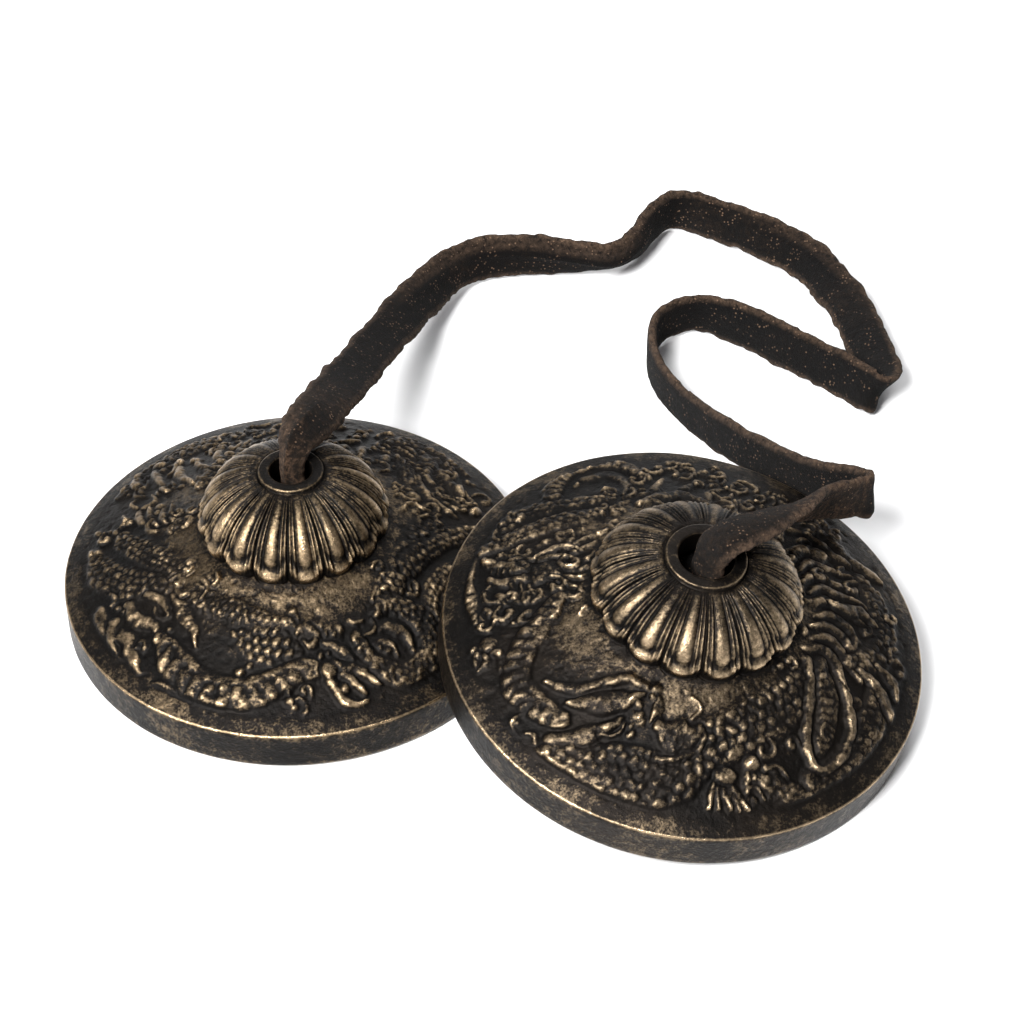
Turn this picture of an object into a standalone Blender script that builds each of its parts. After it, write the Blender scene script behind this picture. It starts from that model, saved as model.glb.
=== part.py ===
"""Hand cymbals: two cast bronze cymbals joined by one leather strap that is knotted inside each dome.

Metres, +Z up. The left cymbal lies flat, and the right one leans on it. The origin is on the floor, in
the middle of the two cymbals.
"""

import math

import bmesh
import bpy
from mathutils import Matrix, Vector

MM = 0.001

# One cymbal, about its own hole axis, with its striking rim at z = 0
RIM_R = 35.0 * MM
RIM_H = 6.1 * MM
RIM_EDGE = 0.5 * MM
STRIKE_R = 30.0 * MM            # inner radius of the flat striking ring
DISC_SLOPE = 0.463
BAND_W = 3.0 * MM               # plain band inside the rim
RELIEF_H = 0.9 * MM             # mean height of the cast relief over the disc
DOME_BASE_Z = 15.0 * MM
DOME_FULLNESS = 2.2             # 2 is an ellipse, and more is squarer
COLLAR_GROOVE = 0.9 * MM
PETALS = 16
PETAL_DEPTH = 0.45 * MM
STEPS_ROUND = 64                # four to a petal
# The two castings differ: radii of the dome, collar and hole, and the dome's height over its base
LEFT = {"dome": 14.0 * MM, "collar": 4.8 * MM, "hole": 3.1 * MM, "height": 10.9 * MM}
RIGHT = {"dome": 15.1 * MM, "collar": 5.8 * MM, "hole": 4.0 * MM, "height": 9.5 * MM}

# Where the two cymbals stand
LEFT_CENTRE = Vector((-28.3, 10.1, 0.0)) * MM
RIGHT_CENTRE_X = 27.9 * MM
RIGHT_CENTRE_Y = -9.7 * MM
LEAN = math.radians(10.3)
LEAN_TOWARDS = math.radians(-44.0)

# The leather strap and its knots
STRAP_W = 7.5 * MM
STRAP_T = 1.6 * MM
STRAP_SECTIONS = 88
KNOT_R = 5.4 * MM
KNOT_H = 5.0 * MM
KNOT_Z = 16.4 * MM              # middle of a knot, along its cymbal's hole axis
TAIL_W = 4.2 * MM
TAIL_L = 6.0 * MM

# The strap's route in millimetres, chosen by hand, from the left knot to the right one. Each stop is its
# place, the direction of the strap's width there, and its width as a share of the full one.
ROUTE = [
    ((-28.3, 10.1, 19.3), (0.9, -0.4, 0.0), 0.60),
    ((-28.4, 10.3, 23.6), (0.9, -0.4, 0.0), 0.54),
    ((-28.3, 10.9, 26.9), (0.9, -0.4, 0.0), 0.58),
    ((-27.5, 13.0, 29.4), (0.9, -0.35, -0.2), 0.80),
    ((-25.6, 18.0, 29.1), (0.85, -0.35, -0.4), 1.00),
    ((-23.4, 26.6, 25.4), (0.9, -0.3, -0.33), 1.00),
    ((-20.7, 41.0, 18.6), (0.9, -0.3, -0.33), 1.00),
    ((-16.6, 57.2, 12.6), (0.85, -0.35, -0.4), 1.00),
    ((-11.2, 74.6, 7.2), (0.6, -0.4, -0.7), 1.00),
    ((-4.0, 86.9, 4.6), (0.2, -0.35, -0.9), 1.00),
    ((5.2, 89.4, 4.3), (0.0, -0.3, -0.95), 1.00),
    ((14.5, 88.3, 4.3), (0.0, 0.1, -1.0), 1.00),
    ((21.2, 87.9, 4.3), (0.0, 0.4, -0.92), 1.00),
    ((26.0, 92.1, 4.3), (0.0, 0.1, -1.0), 1.00),
    ((28.9, 97.9, 4.3), (0.1, 0.0, -1.0), 1.00),
    ((32.7, 102.3, 4.3), (-0.1, -0.1, -1.0), 1.00),
    ((38.6, 100.4, 4.3), (-0.1, -0.3, -0.95), 1.00),
    ((46.8, 95.3, 4.3), (-0.3, -0.4, -0.85), 1.00),
    ((54.9, 88.4, 4.2), (-0.6, -0.4, -0.7), 1.00),
    ((60.4, 77.5, 3.8), (-0.85, -0.35, -0.4), 1.00),
    ((63.3, 65.5, 3.8), (-0.85, -0.3, -0.45), 1.00),
    ((64.3, 56.4, 4.3), (-0.8, -0.2, -0.6), 1.00),
    ((62.9, 53.0, 4.5), (-0.4, -0.2, -0.9), 1.00),
    ((58.7, 56.8, 4.4), (-0.1, -0.3, -0.95), 1.00),
    ((50.7, 63.8, 4.3), (0.0, -0.4, -0.9), 1.00),
    ((42.1, 70.5, 4.3), (0.0, -0.25, -0.97), 1.00),
    ((34.9, 73.6, 4.3), (0.0, 0.0, -1.0), 1.00),
    ((28.8, 70.2, 4.3), (0.0, 0.0, -1.0), 1.00),
    ((27.1, 63.2, 4.3), (0.0, 0.0, -1.0), 1.00),
    ((28.9, 54.6, 4.5), (0.0, 0.0, -1.0), 1.00),
    ((34.4, 43.9, 6.0), (0.0, 0.0, -1.0), 1.00),
    ((42.1, 31.1, 10.0), (0.0, 0.0, -1.0), 1.00),
    ((50.0, 20.3, 14.4), (0.0, 0.0, -1.0), 1.00),
    ((55.6, 15.2, 17.6), (0.0, 0.0, -1.0), 1.00),
    ((56.8, 12.4, 18.9), (0.1, 0.0, -1.0), 1.00),
    ((53.9, 9.9, 20.2), (0.0, 0.1, -1.0), 1.00),
    ((48.2, 5.4, 23.6), (-0.1, 0.3, -0.9), 1.00),
    ((41.7, -4.0, 30.2), (-0.35, 0.65, -0.5), 1.00),
    ((36.2, -10.2, 33.2), (-0.45, 0.8, -0.2), 1.00),
    ((32.9, -12.4, 33.2), (-0.5, 0.85, -0.1), 0.96),
    ((31.3, -12.9, 31.2), (-0.5, 0.85, 0.0), 0.86),
    ((30.8, -12.5, 28.3), (-0.5, 0.85, 0.0), 0.84),
    ((30.4, -12.1, 25.2), (-0.5, 0.85, 0.0), 0.84),
]

BRONZE = {"colour": (0.36, 0.25, 0.12), "roughness": 0.42, "metallic": 1.0}
DARK_BRONZE = {"colour": (0.30, 0.21, 0.11), "roughness": 0.45, "metallic": 1.0}
LEATHER = {"colour": (0.045, 0.028, 0.020), "roughness": 0.85, "metallic": 0.0}


def clear_scene():
    for obj in list(bpy.data.objects):
        bpy.data.objects.remove(obj, do_unlink=True)


def material(name, look):
    made = bpy.data.materials.new(name)
    made.use_nodes = True
    shader = made.node_tree.nodes["Principled BSDF"]
    shader.inputs["Base Color"].default_value = (*look["colour"], 1.0)
    shader.inputs["Roughness"].default_value = look["roughness"]
    shader.inputs["Metallic"].default_value = look["metallic"]
    return made


def add_object(name, mesh, collection, look):
    obj = bpy.data.objects.new(name, mesh)
    obj.data.materials.append(look)
    collection.objects.link(obj)
    return obj


def applied(obj):
    """The object with its modifiers applied."""
    graph = bpy.context.evaluated_depsgraph_get()
    mesh = bpy.data.meshes.new_from_object(obj.evaluated_get(graph))
    obj.modifiers.clear()
    obj.data = mesh
    return obj


def disc_height(r):
    """Height of the disc's ground surface, which rises in a straight cone from the rim."""
    return RIM_H + DISC_SLOPE * (RIM_R - r)


def dome_height(r, sizes):
    """Height of the dome's outer side, a full quarter ellipse."""
    share = max(1.0 - (r / sizes["dome"]) ** DOME_FULLNESS, 0.0)
    return DOME_BASE_Z + sizes["height"] * share ** (1.0 / DOME_FULLNESS)


def dome_outline(sizes):
    """The dome's outer side, from beside the collar down to its scalloped base."""
    first = sizes["collar"] + 0.5 * MM
    last = sizes["dome"] - 0.08 * MM
    shares = (0.0, 0.30, 0.56, 0.77, 0.92, 1.0)
    radii = [first + (last - first) * share for share in shares]
    return [(r, dome_height(r, sizes)) for r in radii]


def cymbal_outline(sizes):
    """The closed section of one cymbal, down its outer side and back up the inside."""
    outer, hole, dome_r = sizes["collar"], sizes["hole"], sizes["dome"]
    collar_z = DOME_BASE_Z + sizes["height"] - 0.1 * MM
    top = [
        (hole + 0.3 * MM, collar_z),
        (outer - 0.4 * MM, collar_z),
        (outer, collar_z - 0.3 * MM),
        (outer + 0.1 * MM, collar_z - COLLAR_GROOVE),
    ]
    relief_in = dome_r + 1.4 * MM
    relief_out = RIM_R - BAND_W
    disc = [
        (dome_r + 0.2 * MM, disc_height(dome_r)),
        (relief_in, disc_height(relief_in) + RELIEF_H),
        (relief_out, disc_height(relief_out) + RELIEF_H),
        (relief_out + 0.7 * MM, disc_height(relief_out + 0.7 * MM)),
        (RIM_R - RIM_EDGE, RIM_H + 0.1 * MM),
        (RIM_R, RIM_H - RIM_EDGE),
        (RIM_R, RIM_EDGE),
        (RIM_R - RIM_EDGE, 0.0),
    ]
    underside = [
        (STRIKE_R, 0.0),
        (27.5 * MM, 2.0 * MM),
        (22.5 * MM, 5.6 * MM),
        (17.0 * MM, 9.6 * MM),
        (12.5 * MM, 13.4 * MM),
        (9.8 * MM, 17.2 * MM),
        (6.6 * MM, 19.8 * MM),
        (hole + 0.4 * MM, 20.3 * MM),
        (hole, 20.8 * MM),
        (hole, collar_z - 0.3 * MM),
    ]
    return top + dome_outline(sizes) + disc + underside


def on_petals(x, y, z, sizes):
    """Whether a point of a cymbal is on the dome's outer side, outside the collar."""
    r = math.hypot(x, y)
    outside_collar = sizes["collar"] + 0.3 * MM < r < sizes["dome"]
    return outside_collar and abs(z - dome_height(r, sizes)) < 0.02 * MM


def petal_groove(x, y):
    """How deep the dome's surface lies here, in the grooves between the petals."""
    return PETAL_DEPTH * (0.5 + 0.5 * math.cos(PETALS * math.atan2(y, x)))


def cymbal(name, sizes, place, look, collection):
    """One cymbal: its section turned about the hole axis, then the dome's petals pressed in."""
    mesh = bpy.data.meshes.new(name)
    turned = bmesh.new()
    points = [turned.verts.new((r, 0.0, z)) for r, z in cymbal_outline(sizes)]
    for start, end in zip(points, points[1:] + points[:1]):
        turned.edges.new((start, end))
    turned.to_mesh(mesh)
    turned.free()
    obj = add_object(name, mesh, collection, look)
    screw = obj.modifiers.new("turn", "SCREW")
    screw.steps = STEPS_ROUND
    screw.render_steps = STEPS_ROUND
    screw.use_merge_vertices = True
    screw.merge_threshold = 0.00001
    applied(obj)
    for vertex in obj.data.vertices:
        x, y, z = vertex.co
        if on_petals(x, y, z, sizes):
            share = 1.0 - petal_groove(x, y) / math.hypot(x, y)
            vertex.co = (x * share, y * share, z)
    obj.data.shade_smooth()
    obj.data.set_sharp_from_angle(angle=math.radians(35.0))
    obj.matrix_world = place
    return obj


def catmull_rom(a, b, c, d, t):
    """The point at t between b and c of the smooth curve through all four."""
    return 0.5 * (2 * b + (c - a) * t + (2 * a - 5 * b + 4 * c - d) * t * t + (3 * b - a - 3 * c + d) * t**3)


def smooth_route(samples):
    """The strap's centre points, width directions and widths, evenly spread over the route's stops."""
    stops = [(Vector(p) * MM, Vector(w).normalized(), Vector((share, 0, 0))) for p, w, share in ROUTE]
    stops = [stops[0], *stops, stops[-1]]
    spans = len(stops) - 3
    found = []
    for i in range(samples):
        along = i * spans / (samples - 1)
        k = min(int(along), spans - 1)
        four = stops[k:k + 4]
        found.append([catmull_rom(*(stop[part] for stop in four), along - k) for part in range(3)])
    return found


def strap(look, collection):
    """The leather thong: a flat ribbon on its route, thickened evenly to both sides."""
    mesh = bpy.data.meshes.new("strap")
    ribbon = bmesh.new()
    route = smooth_route(STRAP_SECTIONS)
    edges = []
    for i, (point, width_way, share) in enumerate(route):
        along = route[min(i + 1, len(route) - 1)][0] - route[max(i - 1, 0)][0]
        along.normalize()
        across = (width_way - along * width_way.dot(along)).normalized()
        half = across * (STRAP_W * share.x / 2)
        edges.append((ribbon.verts.new(point - half), ribbon.verts.new(point + half)))
    for (a, b), (c, d) in zip(edges, edges[1:]):
        ribbon.faces.new((a, b, d, c))
    ribbon.to_mesh(mesh)
    ribbon.free()
    obj = add_object("strap", mesh, collection, look)
    thick = obj.modifiers.new("thickness", "SOLIDIFY")
    thick.thickness = STRAP_T
    thick.offset = 0.0
    return obj


def knot(name, place, look, collection):
    """The strap's knot inside a dome, a rounded lump wider than the hole, with its short tail below."""
    mesh = bpy.data.meshes.new(name)
    lump = bmesh.new()
    bmesh.ops.create_uvsphere(lump, u_segments=20, v_segments=10, radius=KNOT_R)
    bmesh.ops.scale(lump, vec=(1.0, 0.85, KNOT_H / (2 * KNOT_R)), verts=lump.verts)
    bmesh.ops.translate(lump, vec=(0.0, 0.0, KNOT_Z), verts=lump.verts)
    lump.to_mesh(mesh)
    lump.free()
    obj = add_object(name, mesh, collection, look)

    tail_mesh = bpy.data.meshes.new(name + "_tail")
    tail = bmesh.new()
    bmesh.ops.create_cube(tail, size=1.0)
    bmesh.ops.scale(tail, vec=(TAIL_L, TAIL_W, STRAP_T), verts=tail.verts)
    bmesh.ops.rotate(tail, matrix=Matrix.Rotation(math.radians(35.0), 3, "Y"), verts=tail.verts)
    bmesh.ops.translate(tail, vec=(4.2 * MM, 0.0, KNOT_Z - 3.0 * MM), verts=tail.verts)
    tail.to_mesh(tail_mesh)
    tail.free()
    end = bpy.data.objects.new(name + "_tail", tail_mesh)
    helpers().objects.link(end)
    end.hide_render = True
    end.display_type = "WIRE"

    join = obj.modifiers.new("tail", "BOOLEAN")
    join.operation = "UNION"
    join.object = end
    applied(obj)
    bpy.data.objects.remove(end, do_unlink=True)
    obj.data.shade_smooth()
    obj.data.set_sharp_from_angle(angle=math.radians(40.0))
    obj.matrix_world = place
    return obj


def helpers():
    """The collection for shapes that only help to make others."""
    found = bpy.data.collections.get("helpers")
    if found is None:
        found = bpy.data.collections.new("helpers")
        bpy.context.scene.collection.children.link(found)
    return found


def right_place():
    """The right cymbal's place: tilted about its lowest rim point, which stands on the floor."""
    lift = (RIM_R - RIM_EDGE) * math.sin(LEAN)
    centre = Vector((RIGHT_CENTRE_X, RIGHT_CENTRE_Y, lift))
    turn = Matrix.Rotation(LEAN_TOWARDS, 4, "Z")
    tilt = Matrix.Rotation(LEAN, 4, "Y")
    return Matrix.Translation(centre) @ turn @ tilt @ turn.inverted()


def main():
    clear_scene()
    parts = bpy.data.collections.new("hand_cymbals")
    bpy.context.scene.collection.children.link(parts)
    bronze = material("bronze", BRONZE)
    dark_bronze = material("dark_bronze", DARK_BRONZE)
    leather = material("leather", LEATHER)

    left = Matrix.Translation(LEFT_CENTRE)
    right = right_place()
    cymbal("left_cymbal", LEFT, left, bronze, parts)
    cymbal("right_cymbal", RIGHT, right, dark_bronze, parts)
    strap(leather, parts)
    knot("left_knot", left, leather, parts)
    knot("right_knot", right, leather, parts)


main()
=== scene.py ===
"""The looks of the hand cymbals: two embossed bronze castings and the leather thong that joins them.

The castings, the relief and the strap are drawn in millimetres, and their meshes are made in metres. The
camera, the lights and the frame are in metres.
"""

import math

import bmesh
import bpy
import numpy as np
from mathutils import Matrix, Vector


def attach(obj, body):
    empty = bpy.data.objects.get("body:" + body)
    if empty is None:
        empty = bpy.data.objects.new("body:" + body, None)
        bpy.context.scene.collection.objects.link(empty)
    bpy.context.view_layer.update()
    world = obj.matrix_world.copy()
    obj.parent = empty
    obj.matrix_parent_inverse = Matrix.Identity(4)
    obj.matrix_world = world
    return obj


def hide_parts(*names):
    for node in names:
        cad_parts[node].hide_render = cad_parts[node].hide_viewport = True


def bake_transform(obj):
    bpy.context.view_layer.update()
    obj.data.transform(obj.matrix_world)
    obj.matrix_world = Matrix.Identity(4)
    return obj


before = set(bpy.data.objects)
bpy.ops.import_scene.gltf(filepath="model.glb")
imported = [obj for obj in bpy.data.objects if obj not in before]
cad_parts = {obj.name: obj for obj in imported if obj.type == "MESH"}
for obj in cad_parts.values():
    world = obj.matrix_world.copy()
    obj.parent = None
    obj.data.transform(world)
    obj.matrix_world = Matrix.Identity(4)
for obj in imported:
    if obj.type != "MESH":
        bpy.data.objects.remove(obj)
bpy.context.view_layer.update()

MM = 0.001
TURN = 2 * math.pi

# --- The castings' shape, as the CAD has it, in millimetres about the hole axis --------------------------
RIM_R = 35.0
RIM_H = 6.1
RIM_EDGE = 0.5
STRIKE_R = 30.0
DISC_SLOPE = 0.463
RELIEF_EDGE_R = 32.2            # the relief ends here, and a plain band follows
DOME_BASE_Z = 15.0
DOME_FULLNESS = 2.2             # 2 is an ellipse, and more is squarer
PETALS = 16
SIZES = {
    "left": {"dome": 14.0, "collar": 4.8, "hole": 3.1, "height": 10.9},
    "right": {"dome": 15.1, "collar": 5.8, "hole": 4.0, "height": 9.5},
}
ROUND_STEPS = 704               # columns round a casting, 44 to a petal
DOME_ROWS = 27
DISC_ROWS = 76
MOST_RELIEF = 1.12              # the other cymbal's rim passes this close over the disc

# --- Where the castings stand -----------------------------------------------------------------------------
LEFT_CENTRE = Vector((-28.3, 10.1, 0.0)) * MM
LEAN = math.radians(10.3)
LEAN_TOWARDS = math.radians(-44.0)
RIGHT_CENTRE = Vector((27.9, -9.7, (RIM_R - RIM_EDGE) * math.sin(LEAN))) * MM

# --- The strap --------------------------------------------------------------------------------------------
STRAP_W = 7.5
STRAP_T = 1.6
STRAP_SECTIONS = 640
RIBBON_POINTS = 15              # points across each face of a ribbon
KNOT_Z = 16.4
KNOT_LOOP = 1.45                # scale of the curve that the knot's loops follow
KNOT_THONG_W = 3.8
KNOT_THONG_T = 1.5
KNOT_CORE_R = 6.9               # a lump wide enough to close off the view through the hole
KNOT_CORE_FLAT = 0.42
KNOT_CORE_SHIFT = 1.2

# The strap's route in millimetres, the same as the CAD's: place, direction of its width, share of its width
ROUTE = [
    ((-28.3, 10.1, 19.3), (0.9, -0.4, 0.0), 0.60),
    ((-28.4, 10.3, 23.6), (0.9, -0.4, 0.0), 0.54),
    ((-28.3, 10.9, 26.9), (0.9, -0.4, 0.0), 0.58),
    ((-27.5, 13.0, 29.4), (0.9, -0.35, -0.2), 0.80),
    ((-25.6, 18.0, 29.1), (0.85, -0.35, -0.4), 1.00),
    ((-23.4, 26.6, 25.4), (0.9, -0.3, -0.33), 1.00),
    ((-20.7, 41.0, 18.6), (0.9, -0.3, -0.33), 1.00),
    ((-16.6, 57.2, 12.6), (0.85, -0.35, -0.4), 1.00),
    ((-11.2, 74.6, 7.2), (0.6, -0.4, -0.7), 1.00),
    ((-4.0, 86.9, 4.6), (0.2, -0.35, -0.9), 1.00),
    ((5.2, 89.4, 4.3), (0.0, -0.3, -0.95), 1.00),
    ((14.5, 88.3, 4.3), (0.0, 0.1, -1.0), 1.00),
    ((21.2, 87.9, 4.3), (0.0, 0.4, -0.92), 1.00),
    ((26.0, 92.1, 4.3), (0.0, 0.1, -1.0), 1.00),
    ((28.9, 97.9, 4.3), (0.1, 0.0, -1.0), 1.00),
    ((32.7, 102.3, 4.3), (-0.1, -0.1, -1.0), 1.00),
    ((38.6, 100.4, 4.3), (-0.1, -0.3, -0.95), 1.00),
    ((46.8, 95.3, 4.3), (-0.3, -0.4, -0.85), 1.00),
    ((54.9, 88.4, 4.2), (-0.6, -0.4, -0.7), 1.00),
    ((60.4, 77.5, 3.8), (-0.85, -0.35, -0.4), 1.00),
    ((63.3, 65.5, 3.8), (-0.85, -0.3, -0.45), 1.00),
    ((64.3, 56.4, 4.3), (-0.8, -0.2, -0.6), 1.00),
    ((62.9, 53.0, 4.5), (-0.4, -0.2, -0.9), 1.00),
    ((58.7, 56.8, 4.4), (-0.1, -0.3, -0.95), 1.00),
    ((50.7, 63.8, 4.3), (0.0, -0.4, -0.9), 1.00),
    ((42.1, 70.5, 4.3), (0.0, -0.25, -0.97), 1.00),
    ((34.9, 73.6, 4.3), (0.0, 0.0, -1.0), 1.00),
    ((28.8, 70.2, 4.3), (0.0, 0.0, -1.0), 1.00),
    ((27.1, 63.2, 4.3), (0.0, 0.0, -1.0), 1.00),
    ((28.9, 54.6, 4.5), (0.0, 0.0, -1.0), 1.00),
    ((34.4, 43.9, 6.0), (0.0, 0.0, -1.0), 1.00),
    ((42.1, 31.1, 10.0), (0.0, 0.0, -1.0), 1.00),
    ((50.0, 20.3, 14.4), (0.0, 0.0, -1.0), 1.00),
    ((55.6, 15.2, 17.6), (0.0, 0.0, -1.0), 1.00),
    ((56.8, 12.4, 18.9), (0.1, 0.0, -1.0), 1.00),
    ((53.9, 9.9, 20.2), (0.0, 0.1, -1.0), 1.00),
    ((48.2, 5.4, 23.6), (-0.1, 0.3, -0.9), 1.00),
    ((41.7, -4.0, 30.2), (-0.35, 0.65, -0.5), 1.00),
    ((36.2, -10.2, 33.2), (-0.45, 0.8, -0.2), 1.00),
    ((32.9, -12.4, 33.2), (-0.5, 0.85, -0.1), 0.96),
    ((31.3, -12.9, 31.2), (-0.5, 0.85, 0.0), 0.86),
    ((30.8, -12.5, 28.3), (-0.5, 0.85, 0.0), 0.84),
    ((30.4, -12.1, 25.2), (-0.5, 0.85, 0.0), 0.84),
]

# --- The looks and the camera -----------------------------------------------------------------------------
BRONZES = {
    "left": {"patina": (0.011, 0.009, 0.0075), "gold": (0.58, 0.42, 0.25), "warmth": (0.034, 0.024, 0.016)},
    "right": {"patina": (0.011, 0.009, 0.0075), "gold": (0.54, 0.40, 0.25), "warmth": (0.038, 0.026, 0.017)},
}
HORIZON_GREY = (0.62, 0.62, 0.63)
CEILING_GREY = (0.13, 0.13, 0.14)
CAMERA_ELEVATION = math.radians(42.67)
CAMERA_DISTANCE = 0.433
CAMERA_AIM = Vector((4.0, 28.9, 0.0)) * MM
CAMERA_LENS = 96.8


# === Numbers on arrays ====================================================================================

def smoothstep(low, high, x):
    t = np.clip((x - low) / (high - low), 0.0, 1.0)
    return t * t * (3 - 2 * t)


def bump_at(x, place, width):
    """A smooth bump of height 1 at one place."""
    return np.exp(-(((x - place) / width) ** 2))


def catmull_rom(points, samples):
    """Rows of numbers along the smooth curve through the given rows."""
    rows = np.array([points[0], *points, points[-1]], dtype=float)
    along = np.linspace(0, len(points) - 1, samples)
    k = np.minimum(along.astype(int), len(points) - 2)
    t = (along - k)[:, None]
    a, b, c, d = rows[k], rows[k + 1], rows[k + 2], rows[k + 3]
    return 0.5 * (2 * b + (c - a) * t + (2 * a - 5 * b + 4 * c - d) * t**2 + (3 * b - a - 3 * c + d) * t**3)


def value_noise(x, y, pitch, seed):
    """Smooth noise from 0 to 1 over the plane, with features about one pitch across."""
    grid = np.random.default_rng(seed).random((128, 128))
    u, v = x / pitch + 500.0, y / pitch + 500.0
    i, j = np.floor(u).astype(int), np.floor(v).astype(int)
    fu, fv = u - i, v - j
    fu, fv = fu * fu * (3 - 2 * fu), fv * fv * (3 - 2 * fv)
    i0, j0, i1, j1 = i % 128, j % 128, (i + 1) % 128, (j + 1) % 128
    low = grid[i0, j0] * (1 - fu) + grid[i1, j0] * fu
    high = grid[i0, j1] * (1 - fu) + grid[i1, j1] * fu
    return low * (1 - fv) + high * fv


def layered_noise(x, y, pitch, seed, layers=3):
    total = sum(value_noise(x, y, pitch / 2**k, seed + k) / 2**k for k in range(layers))
    return total / sum(1 / 2**k for k in range(layers))


# === The relief, drawn as strokes on the disc =============================================================

class Relief:
    """Heights over the disc's ground, in millimetres, at points with plan coordinates x and y."""

    def __init__(self, x, y, seed):
        self.x = self.shaken(x, x, y, seed + 60)
        self.y = self.shaken(y, x, y, seed + 70)
        self.h = np.zeros_like(x)

    def shaken(self, coordinate, x, y, seed):
        """The coordinate moved a little either way, so that the strokes look hand-cut."""
        small = 0.75 * (layered_noise(x, y, 1.9, seed) - 0.5)
        large = 0.9 * (value_noise(x, y, 5.0, seed + 1) - 0.5)
        return coordinate + small + large

    def near(self, line, margin):
        """Which points lie within the stroke's box."""
        reach = line[:, 2].max() + margin
        low, high = line[:, :2].min(0) - reach, line[:, :2].max(0) + reach
        inside = (self.x > low[0]) & (self.x < high[0]) & (self.y > low[1]) & (self.y < high[1])
        return np.nonzero(inside)

    def along(self, line, at):
        """Each point's distance along the stroke, signed distance across it, and half width there."""
        x, y = self.x[at], self.y[at]
        best = np.full(x.shape, 1e9)
        s, v, w = np.zeros_like(x), np.zeros_like(x), np.ones_like(x)
        start = 0.0
        for (ax, ay, aw), (bx, by, bw) in zip(line, line[1:]):
            dx, dy = bx - ax, by - ay
            length = math.hypot(dx, dy) + 1e-9
            t = np.clip(((x - ax) * dx + (y - ay) * dy) / length**2, 0.0, 1.0)
            ex, ey = x - ax - t * dx, y - ay - t * dy
            far = ex * ex + ey * ey
            closer = far < best
            best = np.where(closer, far, best)
            s = np.where(closer, start + t * length, s)
            side = np.where(dx * ey - dy * ex >= 0, 1.0, -1.0)
            v = np.where(closer, side * np.sqrt(far), v)
            w = np.where(closer, aw + t * (bw - aw), w)
            start += length
        return s, v, w

    def lay(self, at, v, w, height, under=0.25, groove=0.4):
        """Puts a raised form on top of what is there, with a cut outline round it."""
        old = self.h[at]
        inside = np.abs(v) < w
        outside = np.abs(v) - w
        cut = groove * np.exp(-((outside / 0.26) ** 2)) * smoothstep(0.05, 0.45, old)
        self.h[at] = np.where(inside, np.maximum(height + under * np.minimum(old, 0.8), old * 0.2), old - cut)

    def beads(self, s, v, pitch):
        """Rows of round scales, each row set off by half a pitch from the next."""
        row = np.floor(v / (0.87 * pitch))
        ds = (s / pitch + 0.5 * (row % 2)) % 1.0 - 0.5
        dv = v / (0.87 * pitch) - row - 0.5
        return np.sqrt(np.clip(1.0 - (ds**2 + (0.87 * dv) ** 2) / 0.21, 0.0, 1.0))

    def ridge(self, points, height=0.6, samples=26, sharp=0.7):
        """A plain rounded stroke, such as a claw, a hair or a flame."""
        line = catmull_rom(points, samples)
        at = self.near(line, 0.8)
        s, v, w = self.along(line, at)
        form = np.clip(1.0 - (v / w) ** 2, 0.0, 1.0) ** sharp
        self.lay(at, v, w, height * form)

    def ribbed(self, points, height=0.72, pitch=1.5, samples=70):
        """A body with plates across its belly and fine round scales on its back."""
        line = catmull_rom(points, samples)
        at = self.near(line, 0.8)
        s, v, w = self.along(line, at)
        u = v / w
        form = np.sqrt(np.clip(1.0 - u**2, 0.0, 1.0))
        plates = np.abs(np.sin(math.pi * (s / pitch + 0.25 * u)))**0.6
        fine = 0.22 * (self.beads(s, v, 0.95) - 0.5)
        belly = smoothstep(0.45, 0.2, u)
        texture = belly * 0.62 * (plates - 0.7) + (1 - belly) * fine
        seam = -0.16 * np.exp(-(((u - 0.38) * w / 0.16) ** 2))
        self.lay(at, v, w, (height * form**0.75 + (texture + seam) * form**0.5).clip(0.02))

    def scaled(self, points, height=0.66, pitch=1.3, samples=70, bead=0.36):
        """A body or a pad covered with round scales."""
        line = catmull_rom(points, samples)
        at = self.near(line, 0.8)
        s, v, w = self.along(line, at)
        form = np.sqrt(np.clip(1.0 - (v / w) ** 2, 0.0, 1.0))
        scales = self.beads(s, v, pitch)
        self.lay(at, v, w, (height * form**0.7 + bead * (scales - 0.62) * form**0.4).clip(0.02))

    def leaf(self, points, height=0.55, veins=1.1, samples=40):
        """A pad with a middle vein and slanting side veins."""
        line = catmull_rom(points, samples)
        at = self.near(line, 0.8)
        s, v, w = self.along(line, at)
        form = np.clip(1.0 - (v / w) ** 4, 0.0, 1.0)
        side = np.abs(np.sin(math.pi * (s - 0.9 * np.abs(v)) / veins)) ** 0.5
        middle = np.exp(-((v / 0.2) ** 2))
        self.lay(at, v, w, (height * form * (0.62 + 0.38 * side) + 0.15 * middle - 0.05).clip(0.02))

    def curl(self, x, y, size, turn=1.0, start=0.0, height=0.6, thick=0.42):
        """A spiral, such as a cloud's end or a lock of mane."""
        steps = np.linspace(0, 1, 9)
        angles = start + turn * (0.2 + 4.6 * steps)
        radii = size * (1.0 - 0.82 * steps)
        widths = thick * (0.55 + 0.75 * steps)
        points = np.stack([x + radii * np.cos(angles), y + radii * np.sin(angles), widths], 1)
        self.ridge(points, height, samples=30)

    def dot(self, x, y, r, height=0.6):
        self.ridge([(x - 0.01, y, r), (x + 0.01, y, r)], height, samples=2, sharp=0.5)

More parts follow.
